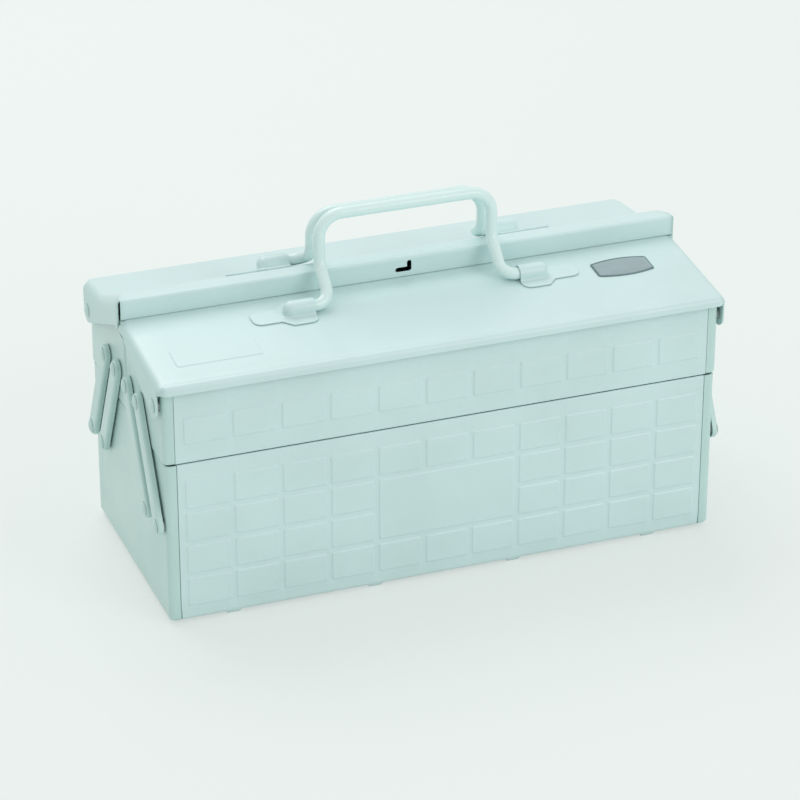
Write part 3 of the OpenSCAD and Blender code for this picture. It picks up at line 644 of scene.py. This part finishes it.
def lidSheet(stations, xs, topZ, reach):
    # stations: (y, z, end fold in X, end fold in Z) from the eave's fold in to the centre, y > 0
    n, a0, b0 = lid["steps"], lid["endFold"], lid["eaveFold"]
    verts = [(x, y, z + topZ(x, y)) for y, z, *r in stations for x in xs]
    wide, deep = len(xs), len(stations)
    faces = gridFaces(deep, wide)
    edge = [((deep - 1 - i) * wide, (-1, 0), *stations[deep - 1 - i][2:]) for i in range(deep)]
    turn = [math.radians(90 * i / lid["cornerSteps"]) for i in range(1, lid["cornerSteps"])]
    edge += [(0, (-math.cos(t), math.sin(t)), 0, 0) for t in turn]
    edge += [(j, (0, 1), 0, 0) for j in range(wide)]
    edge += [(wide - 1, (math.sin(t), math.cos(t)), 0, 0) for t in turn]
    edge += [(wide - 1 + i * wide, (1, 0), *stations[i][2:]) for i in range(deep)]
    rings = []
    for k in range(1, n + 1):
        a = math.radians(90 * k / n)
        ring = []
        for base, (dx, dy), flat, r in edge:
            x, y, z = verts[base]
            if dy:
                flat, r = a0, a0 * dx * dx + b0 * dy * dy
            r = min(r, z - box["skirtZ"] - lid["leastSkirt"])
            out = (dx * (reach - flat + flat * math.sin(a)), dy * b0 * math.sin(a))
            ring.append(len(verts))
            verts.append((x + out[0], y + out[1], z - lidSlope * out[1] - r * (1 - math.cos(a))))
        rings.append(ring)
    chain = [[e[0] for e in edge]] + rings
    for low, high in zip(chain, chain[1:]):
        for i in range(len(edge) - 1):
            faces.append(tuple(dict.fromkeys((low[i], low[i + 1], high[i + 1], high[i]))))
    # skirt round the eave and the corners, then a flat end wall with its tab
    last = rings[-1]
    outline = wallOutline()
    tabY = outline[-1][0]
    skirt = [i for i in range(len(edge)) if verts[last[i]][1] > tabY - lid["tabGap"]]
    down = {i: len(verts) + k for k, i in enumerate(skirt)}
    verts += [(*verts[last[i]][:2], box["skirtZ"]) for i in skirt]
    faces += [(last[i], last[i + 1], down[i + 1], down[i]) for i in skirt[:-1]]
    for side in (0, -1):
        i0 = skirt[side]
        run = range(0, i0 + 1) if side == 0 else range(len(edge) - 1, i0 - 1, -1)
        top = [last[i] for i in run]
        x = verts[last[i0]][0]
        first = len(verts)
        verts += [(x, y, z) for y, z in outline[:-1]]
        faces.append(tuple(top + [down[i0]] + list(range(len(verts) - 1, first - 1, -1))))
    return [roundCorner(v) for v in verts], faces


def cardRise(x, y):
    away = max(abs(x - sum(lid["cardX"]) / 2) - (lid["cardX"][1] - lid["cardX"][0]) / 2,
               abs(y - sum(lid["cardY"]) / 2) - (lid["cardY"][1] - lid["cardY"][0]) / 2)
    return lid["cardRise"] * softStep(0.5 - away / lid["cardSoft"])


def eaveBead(y):
    t = (box["lidY"] - y - lid["beadAt"]) / lid["beadWidth"]
    return -lid["beadDip"] * math.exp(-t * t)


def around(values):
    return [v + o for v in values for o in lid["cardLines"]]


def eaveRows():
    return [box["lidY"] - lid["eaveFold"] - lid["eaveRow"] * i for i in range(lid["eaveRows"])]


def makeFrontLid():
    fold, tabY = lid["endFold"], box["hingeY"] + box["tabRadius"]
    edge = box["lidX"] - fold
    ys = tidyLines([*around(lid["cardY"]), *eaveRows(), *lid["frontRows"]], lid["centre"], eaveRows()[0])
    ys = sorted({*ys, tabY}, reverse=True)
    xs = tidyLines([*around(lid["cardX"]), *lid["columns"]], -edge, edge)
    stations = [(y, lidTop(y), fold, fold) for y in ys]
    sheet = lidSheet(stations, xs, lambda x, y: cardRise(x, y) + eaveBead(y), fold)
    # tongue under the ridge
    w = box["lidX"] - box["sheet"] - lid["tongueGap"]
    y0, y1, y2, z = lid["tongueRoot"], lid["centre"], -lid["tongue"], lidTop(lid["centre"])
    sink, bend = lid["tongueSink"], lid["tongueBend"]
    strip = [(y0, lidTop(y0) - sink), (y1, z - sink), (y2 + bend, z - sink), (y2, z - sink - bend),
             (y2, z - lid["tongueDrop"])]
    tongue = ([(x, y, zz) for y, zz in strip for x in (-w, w)], gridFaces(len(strip), 2))
    parts = []
    for part in (sheet, tongue):
        v, f = mirrored(*part, 1, -1)
        obj = meshObject("frontLidPart", v, f, (0, -lid["insideY"], lid["insideZ"]))
        parts.append(finishSheet(obj))
    obj = shadeSoft(joinObjects(parts, "frontLidSheet"), foldedEdge)
    place(obj, lidShadedEndsPaint, "front_lid", ["front_lid"])


def ridgeRows():
    # the back lid's top as (y, z), from its eave in to the ridge, with a soft bend at each end of the ramp
    foot, crest = lid["ridgeFoot"], lid["ridgeTop"]
    rise = (box["ridgeZ"] - lidTop(foot)) / (foot - crest)
    flat = {*eaveRows(), box["hingeY"] + box["tabRadius"], *lid["backRows"]}
    rows = [(y, lidTop(y)) for y in sorted(flat, reverse=True)]
    for t, soft in softBend(lid["footBend"]):
        z = lidTop(foot - t) if t < 0 else lidTop(foot) + rise * t
        rows.append((foot - t, z + soft * (rise + lidSlope)))
    rows += [(y, lidTop(foot) + rise * (foot - y)) for y in lid["rampRows"]]
    rows += [(crest - t, box["ridgeZ"] + rise * min(0, t) - soft * rise)
             for t, soft in softBend(lid["topBend"])]
    return rows + [(y, box["ridgeZ"]) for y in (lid["topRow"], lid["lipFold"] - lid["lipY"])]


def softBend(reach):
    # places across a bend, and how far the sheet stands off its sharp line there
    steps = [(k - 4) / 4 * reach for k in range(9)]
    return [(t, lid["bend"] * (reach - abs(t)) ** 2 / reach) for t in steps]


def makeBackLid():
    # the ridge's ends slope down to the lid's end fold, but for their front edge
    stations, small, fold = [], lid["lipEnd"], lid["endFold"]
    for y, z in ridgeRows():
        t, high = softStep((y - lid["hipAt"]) / lid["hipLength"]), max(0, z - lidTop(y))
        wide = fold + (lid["ridgeEnd"] - fold) * min(1, high / lid["hipHeight"])
        stations.append((y, z, small + (wide - small) * t, small + (fold + high - small) * t))
    edge = box["lidX"] - lid["ridgeEnd"]
    xs = [-edge, *lid["columns"], edge]
    verts, faces = lidSheet(stations, xs, lambda x, y: eaveBead(y), lid["ridgeEnd"])
    middle = (0, lid["insideY"], lid["insideZ"])
    top = meshObject("backLidPart", verts, faces, middle)
    finishSheet(top)
    # lip in front of the ridge, hemmed inwards at its lower edge
    w, lip = box["lidX"] - box["sheet"] - lid["openCorner"], -lid["lipY"]
    r, hem = lid["lipFold"], lid["lipHem"]
    under, low = box["ridgeZ"] - lid["lipSink"], box["lipZ"] - lid["lipReach"]
    prof = [(lip + r + lid["lipLap"], under), (lip + r, under)]
    prof += arc(lip + r, box["ridgeZ"] - r, r, 90, 180, 5)[1:]
    prof += arc(lip + hem, low + hem, hem, 180, 360, 6) + [(lip + 2 * hem, low + lid["hemTop"])]
    v = [(x, y, z) for y, z in prof for x in (-w, w)]
    front = meshObject("backLidLip", v, gridFaces(len(prof), 2), middle)
    finishSheet(front, lid["lipSheet"])
    cutSlot(front, lip)
    obj = shadeSoft(joinObjects([top, front], "backLidSheet"), foldedEdge)
    place(obj, lidShadedEndsPaint, "back_lid", ["back_lid"])


ridgeSlot = {"width": 2.9, "across": 7.3, "up": 4.0, "above": 4.3, "before": 2.0, "behind": 1.35}


def cutSlot(obj, y):
    # L-shaped slot through the lip
    low, h, across = box["lipZ"] + ridgeSlot["above"], ridgeSlot["width"] / 2, ridgeSlot["across"] / 2
    path = arc(-across, low, h, 90, 270, 8) + arc(across, low, h, 270, 360, 4)
    path += arc(across, low + ridgeSlot["up"], h, 0, 180, 8) + [(across - h, low + h)]
    verts = [(x, y + deep, z) for deep in (-ridgeSlot["before"], ridgeSlot["behind"]) for x, z in path]
    n = len(path)
    faces = [tuple(range(n)), tuple(range(2 * n - 1, n - 1, -1))]
    faces += [(i, (i + 1) % n, n + (i + 1) % n, n + i) for i in range(n)]
    cutter = faceOutwards(meshObject("slotCutter", verts, faces))
    cut = obj.modifiers.new("slot", "BOOLEAN")
    cut.operation = "DIFFERENCE"
    cut.solver = "EXACT"
    cut.object = cutter
    settle(obj)
    bpy.data.objects.remove(cutter)


makeFrontLid()
makeBackLid()
print("lids ready")

rod = {
    "radius": 3.6, "around": 28, "legX": 54.0, "mouthX": 64.0, "inSaddle": 13.0,
    "endBend": 9.0, "knee": 12.0, "bend": 14.0, "gap": 0.3,
    "frontAxis": 23.5, "backAxis": 24.5, "frontSlant": 45.0, "backSlant": 32.0,
    "frontLeg": 5.2, "backLeg": 9.0, "frontTop": 213.6, "backTop": 208.9,
}
rampAngle = math.atan((box["ridgeZ"] - lidTop(lid["ridgeFoot"]))
                      / (lid["ridgeFoot"] - lid["ridgeTop"]))
rodUp = rod["radius"] + rod["gap"]
frontAxisZ = lidTop(rod["frontAxis"]) + rodUp / math.cos(lidAngle)
backAxisZ = (box["ridgeZ"] - math.tan(rampAngle) * (rod["backAxis"] - lid["ridgeTop"])
             + rodUp / math.cos(rampAngle))
seats = {"front": (lidAngle, rod["frontAxis"], frontAxisZ), "back": (rampAngle, rod["backAxis"], backAxisZ)}


def handlePath(axisY, axisZ, legY, topZ, slant):
    sl = math.radians(slant)
    turn = 90 - slant
    cut = rod["knee"] * math.tan(math.radians(turn / 2))
    length = (axisY - legY) / math.cos(sl) - rod["endBend"] - cut
    kneeZ = axisZ + (axisY - legY) * math.tan(sl)
    e, b, legX = rod["endBend"], rod["bend"], rod["legX"]
    path = [(-rod["mouthX"] - rod["inSaddle"], -axisY, axisZ)]
    slanted = [(x, v) for x, v in arc(-legX - e, e, e, -90, 0, 12)] + [(-legX, e + length)]
    path += [(x, -axisY + v * math.cos(sl), axisZ + v * math.sin(sl)) for x, v in slanted]
    path += [(-legX, y, z) for y, z in
             arc(-legY - rod["knee"], kneeZ + cut, rod["knee"], -turn, 0, 8)[1:]]
    path += [(x, -legY, z) for x, z in arc(-legX + b, topZ - b, b, 180, 90, 14)]
    return path + [(-x, y, z) for x, y, z in reversed(path)]


def tube(path, radius, steps):
    pts = [Vector(p) for p in path]
    verts, side = [], None
    for i, p in enumerate(pts):
        before = (p - pts[i - 1]).normalized() if i else (pts[1] - p).normalized()
        after = (pts[i + 1] - p).normalized() if i + 1 < len(pts) else before
        way = (before + after).normalized()
        side = Vector((0, -1, 0)) if side is None else side
        side = (side - way * side.dot(way)).normalized()
        other = way.cross(side)
        grow = 1 / max(0.5, way.dot(before))
        for k in range(steps):
            a = 2 * math.pi * k / steps
            verts.append(tuple(p + (side * math.cos(a) + other * math.sin(a)) * radius * grow ** 0.5))
    faces = gridFaces(len(pts), steps, closed=True)
    faces += [tuple(range(steps)), tuple(range(len(verts) - 1, len(verts) - 1 - steps, -1))]
    return verts, faces


for half, sy in halves:
    path = handlePath(*seats[half][1:], rod[half + "Leg"], rod[half + "Top"], rod[half + "Slant"])
    verts, faces = mirrored(*tube(path, rod["radius"], rod["around"]), 1, -sy)
    bar = shadeSoft(faceOutwards(meshObject(half + "Rod", verts, faces)), 50)
    place(bar, rodLitPaint, half + "_handle", [half + "_handle"])
print("handles ready")

saddle = {"length": 38.0, "halfWidth": 12.5, "tail": 7.0, "lobe": 16.0, "corner": 5.0,
          "tunnel": 14.0, "lines": (6.0, 12.0), "foot": 1.3, "rings": 9, "height": 1.0, "lift": 0.01,
          "frontSheet": 0.72, "backSheet": 0.97, "edge": 0.25, "inside": 12}


def saddleSheet():
    c, w, t, length = saddle["corner"], saddle["halfWidth"], saddle["tail"], saddle["length"]
    f, top = saddle["foot"], saddle["height"]
    radius = rodUp + top
    end = saddle["lobe"] + w - t
    outer = [(0, w - c)] + arc(c, w - c, c, 180, 90, 6)[1:] + [(saddle["lobe"], w), (end, t)]
    outer += arc(length - c, t - c, c, 90, 0, 6)
    outer += [(x, -y) for x, y in reversed(outer)]
    # the cover: elements along the foot of the bulge, each rising over to the middle line
    along = (0.0, *saddle["lines"], saddle["tunnel"])
    run = [((x, 0.0), (0, 1)) for x in along]
    run += [((saddle["tunnel"], 0.0), heading(a)[::-1]) for a in range(12, 180, 12)]
    run += [((x, 0.0), (0, -1)) for x in reversed(along)]
    rise = [(radius + f, top)]
    rise += [(radius + f - f * q, top + f - f * p) for p, q in map(heading, (22, 45, 68, 90))]
    rise += arc(0, rodUp, radius, 0, 90, saddle["rings"])
    verts = [(px + dx * d, py + dy * d, z) for d, z in rise for (px, py), (dx, dy) in run]
    faces = gridFaces(len(rise), len(run))
    first = len(verts)
    verts += [(x, y, top) for x, y in outer]
    faces.append(tuple(list(range(len(run))) + list(range(len(verts) - 1, first - 1, -1))))
    return verts, faces


for half, sy in halves:
    tilt, axisY, axisZ = seats[half]
    for side, sx in sides:
        verts, faces = saddleSheet()
        verts = tilted([(x, y, z + saddle["lift"] - rodUp) for x, y, z in verts], tilt,
                       (rod["mouthX"], -axisY, axisZ))
        verts, faces = mirrored(verts, faces, sx, -sy)
        obj = meshObject("%s%sSaddle" % (half, side.title()), verts, faces,
                         (sx * (rod["mouthX"] + saddle["inside"]), sy * axisY, axisZ - saddle["inside"]))
        finishSheet(obj, saddle[half + "Sheet"], saddle["edge"])
        place(obj, paint, half + "_lid", ["%s_%s_saddle" % (half, side)])
print("saddles ready")

link = {"length": 72.0, "lean": 27.5, "halfWidth": 5.5, "inner": 172.9, "outer": 176.5, "fold": 1.6,
        "sheet": 1.15, "edge": 0.2, "outerLow": 67.0, "innerLow": 44.7, "highZ": 127.6, "inside": 96}
linkLean = math.radians(link["lean"])
linkLowZ = link["highZ"] - link["length"] * math.cos(linkLean)
linkSwing = link["length"] * math.sin(linkLean)


def linkSheet():
    # drawn upright from its lower pivot at Y = Z = 0, web outside
    run = [(heading(a), 0) for a in range(180, 361, 12)]
    run += [(heading(a), link["length"]) for a in range(0, 181, 12)]
    f = link["fold"]
    rise = [(link["halfWidth"], link["inner"])]
    rise += arc(link["halfWidth"] - f, link["outer"] - f, f, 0, 90, 5)
    verts = [(x, dy * r, z + dz * r) for r, x in rise for (dy, dz), z in run]
    faces = gridFaces(len(rise), len(run), closed=True)
    faces.append(tuple(range(len(verts) - len(run), len(verts))))
    return verts, faces


for half, sy in halves:
    for rank in ("outer", "inner"):
        for side, sx in sides:
            verts, faces = linkSheet()
            verts = tilted(verts, -linkLean, (0, -link[rank + "Low"], linkLowZ))
            verts, faces = mirrored(verts, faces, sx, -sy)
            name = "%s%s%sLink" % (half, rank.title(), side.title())
            middle = (0, sum(v[1] for v in verts) / len(verts), link["inside"])
            obj = meshObject(name, verts, faces, middle)
            finishSheet(obj, link["sheet"], link["edge"])
            place(obj, endShadePaint, "%s_%s_links" % (half, rank),
                  ["%s_%s_%s_link" % (half, rank, side)])
print("links ready")

rivet = {"shank": 2.4, "head": 4.4, "headHeight": 1.4, "innerHead": 3.0, "innerEdge": 0.4, "around": 28,
         "dome": (1, 0.97, 0.9, 0.75, 0.55, 0.35, 0.15, 0), "sideGap": 0.2, "spacer": 3.9,
         "spacerEdge": 0.2, "toLink": 1.4, "toLid": 1.2}


def lathe(name, profile, steps):
    # outline of (along X, radius), closed on the axis
    turns = [2 * math.pi * k / steps for k in range(steps)]
    verts = [(x, r * math.cos(a), r * math.sin(a)) for x, r in profile for a in turns]
    obj = meshObject(name, verts, gridFaces(len(profile), steps, closed=True))
    return shadeSoft(faceOutwards(obj), 40)


def rivetObject(name, inner, outer):
    h, r = rivet["headHeight"], rivet["head"]
    dome = (r * r + h * h) / (2 * h)
    top = [(outer + h - dome + math.sqrt(max(0, dome * dome - q * q)), q)
           for q in [r * part for part in rivet["dome"]]]
    profile = [(inner - h, 0.0), (inner - h, rivet["innerHead"] - rivet["innerEdge"]),
               (inner - h + rivet["innerEdge"], rivet["innerHead"]), (inner, rivet["innerHead"]),
               (inner, rivet["shank"]), (outer, rivet["shank"]), (outer, r)] + top
    return lathe(name, profile, rivet["around"])


def spacerObject(name, inner, outer):
    edge = rivet["spacerEdge"]
    profile = [(inner, rivet["shank"]), (inner, rivet["spacer"]), (outer - edge, rivet["spacer"]),
               (outer, rivet["spacer"] - edge), (outer, rivet["shank"]), (inner, rivet["shank"])]
    return lathe(name, profile, rivet["around"])


def fasten(name, groups, material, body, nodes):
    # groups: (fastener, points at the right-hand end); each point is repeated at the left
    done = []
    for fastener, points in groups:
        mesh = bpy.data.meshes.new(name)
        mesh.from_pydata([(0, y * mm, z * mm) for y, z in points] * 2, [], [])
        turn = mesh.attributes.new("turn", "FLOAT_VECTOR", "POINT")
        for i in range(2 * len(points)):
            turn.data[i].vector = (0, 0, 0 if i < len(points) else math.pi)
        obj = addObject(name + "Points", mesh)
        done.append(runRecipe(obj, fasteners, {"Fastener": fastener, "Material": material}))
        bpy.data.objects.remove(fastener)
    place(joinObjects(done, name), material, body, nodes)


linkX, lidX, endX, trayX = link["outer"], box["lidX"], box["endX"], box["trayX"]
sheet, sideGap = box["sheet"], rivet["sideGap"]
low = [(s * link[k], linkLowZ) for s in (-1, 1) for k in ("outerLow", "innerLow")]
fasten("baseRivets", [(rivetObject("rivetBase", endX - sheet, linkX + sideGap), low)],
       endShadePaint, "base", ["base_link_rivets"])
fasten("baseSpacers", [(spacerObject("spacerBase", endX, linkX - rivet["toLink"]), low)],
       steel, "base", ["base_link_washers"])
for half, s in halves:
    high = [(s * (link[k] - linkSwing), link["highZ"]) for k in ("outerLow", "innerLow")]
    hinge = [(s * box["hingeY"], box["hingeZ"])]
    fasten(half + "TrayRivets",
           [(rivetObject("rivetLink", trayX - sheet, linkX + sideGap), high),
            (rivetObject("rivetHinge", trayX - sheet, lidX + sideGap), hinge)],
           endShadePaint, half + "_tray", [half + "_tray_link_rivets", half + "_hinge_rivets"])
    fasten(half + "TraySpacers",
           [(spacerObject("spacerLink", trayX, linkX - rivet["toLink"]), high),
            (spacerObject("spacerHinge", trayX, lidX - rivet["toLid"]), hinge)],
           steel, half + "_tray", [half + "_tray_link_washers", half + "_hinge_washers"])
print("rivets and spacers ready")

plate = {"x": 129.5, "y": 28.0, "length": 36.0, "width": 20.0, "bulge": 2.8, "corner": 1.6,
         "leastCorner": 0.3, "thick": 0.6, "edgeIn": 0.15, "edgeDown": 0.2, "rim": 1.0, "rimRise": 0.12,
         "rimOut": 0.2, "rimIn": 0.1, "faceIn": 1.2, "lift": 0.02, "steps": 10}


def plateOutline(inset):
    hl, hw = plate["length"] / 2 - inset, plate["width"] / 2 - inset
    bulge, steps = plate["bulge"], plate["steps"]
    c = max(plate["leastCorner"], plate["corner"] - inset)
    out = []
    for s in (1, -1):
        for i in range(steps + 1):
            x = (hl - c) * (1 - 2 * i / steps) * s
            out.append((x, s * (hw - bulge * (x / hl) ** 2)))
        corner = hw - bulge * ((hl - c) / hl) ** 2
        cx, cy = -s * (hl - c), s * (corner - c)
        out += [(cx - s * c * q, cy + s * c * p) for p, q in map(heading, (22, 45, 68))]
        out += [(-s * hl, cy), (-s * hl, -cy)]
        out += [(cx - s * c * q, -cy + s * c * p) for p, q in map(heading, (112, 135, 158))]
    return out


def makePlate():
    thick, rim, face = plate["thick"], plate["rim"], plate["thick"] - plate["rimRise"]
    levels = [(0.0, 0.0), (0.0, thick - plate["edgeDown"]), (plate["edgeIn"], thick),
              (rim - plate["rimOut"], thick), (rim + plate["rimIn"], face), (rim + plate["faceIn"], face)]
    verts = tilted([(x, y, z + plate["lift"]) for inset, z in levels for x, y in plateOutline(inset)],
                   lidAngle, (plate["x"], -plate["y"], lidTop(plate["y"])))
    n = len(plateOutline(0))
    faces = gridFaces(len(levels), n, closed=True)
    faces += [tuple(range(n)), tuple(range(len(verts) - 1, len(verts) - 1 - n, -1))]
    obj = shadeSoft(faceOutwards(meshObject("namePlate", verts, faces)), 35)
    place(obj, plateGrey, "front_lid", ["name_plate"])
    obj.data.materials.append(plateEdge)
    for f in obj.data.polygons:  # the edge and the rim are darker
        if f.index < 4 * n:
            f.material_index = 1


makePlate()
print("name plate ready")

studio = {
    "floor": (233, 240, 237), "floorHalf": 6000, "floorDeep": 0.99, "floorRough": 0.8, "haze": 0.6,
    "camera": (-644.8, -1722.6, 1014.1), "target": (-1.73, 0.0, 82.08), "lens": 153.77,
    "sensor": 36, "far": 100, "sky": 0.70, "lampAim": (0, 0, 0.1),
    "top": ((-0.3, 1.3, 2.1), 23.0, (1.8, 1.6)),  # a lamp's place, power and size
    "front": ((1.5, -2.3, 1.5), 19.5, (1.6, 1.4)),
}


def lookAt(obj, at, aim):
    obj.location = Vector(at)
    obj.rotation_euler = (Vector(aim) - Vector(at)).to_track_quat("-Z", "Y").to_euler()


def lamp(name, at, power, size):
    light = bpy.data.lights.new(name, "AREA")
    light.shape = "RECTANGLE"
    light.size, light.size_y = size
    light.energy = power
    lookAt(addObject(name, light), at, studio["lampAim"])


def makeStage():
    h = studio["floorHalf"]
    floor = meshObject("floor", [(-h, -h, 0), (h, -h, 0), (h, h, 0), (-h, h, 0)], [(0, 1, 2, 3)])
    mat, tree, shader, coords = newMaterial("paleFloor")
    shade = noiseNode(tree, coords, 3, 2, 0.5)
    pale = tone(*studio["floor"])
    tree.links.new(rampNode(tree, shade, [(0.3, shaded(pale, studio["floorDeep"])), (0.7, pale)]),
                   shader.inputs["Base Color"])
    shader.inputs["Roughness"].default_value = studio["floorRough"]
    # seen directly or mirrored, part of the floor is an even pale backdrop
    seen = tree.nodes.new("ShaderNodeLightPath").outputs
    op = mathNodes(tree)
    shown = op("MAXIMUM", op("MAXIMUM", seen["Is Camera Ray"], seen["Is Glossy Ray"]),
               seen["Is Transmission Ray"])
    glow = tree.nodes.new("ShaderNodeEmission")
    glow.inputs["Color"].default_value = pale
    mix = tree.nodes.new("ShaderNodeMixShader")
    tree.links.new(op("MULTIPLY", shown, studio["haze"]), mix.inputs["Fac"])
    tree.links.new(shader.outputs["BSDF"], mix.inputs[1])
    tree.links.new(glow.outputs["Emission"], mix.inputs[2])
    tree.links.new(mix.outputs["Shader"], tree.nodes["Material Output"].inputs["Surface"])
    floor.data.materials.append(mat)
    world = bpy.data.worlds.new("studio")
    world.use_nodes = True
    back = world.node_tree.nodes["Background"]
    back.inputs["Color"].default_value = (1, 1, 1, 1)
    back.inputs["Strength"].default_value = studio["sky"]
    bpy.context.scene.world = world
    lamp("topSoft", *studio["top"])
    lamp("frontSoft", *studio["front"])
    bpy.context.scene.view_settings.view_transform = "Standard"


def makeCamera():
    data = bpy.data.cameras.new("photoCamera")
    data.lens = studio["lens"]
    data.sensor_width = studio["sensor"]
    data.clip_end = studio["far"]
    obj = addObject("photoCamera", data)
    lookAt(obj, Vector(studio["camera"]) * mm, Vector(studio["target"]) * mm)
    bpy.context.scene.camera = obj


makeStage()
makeCamera()
print("stage ready")
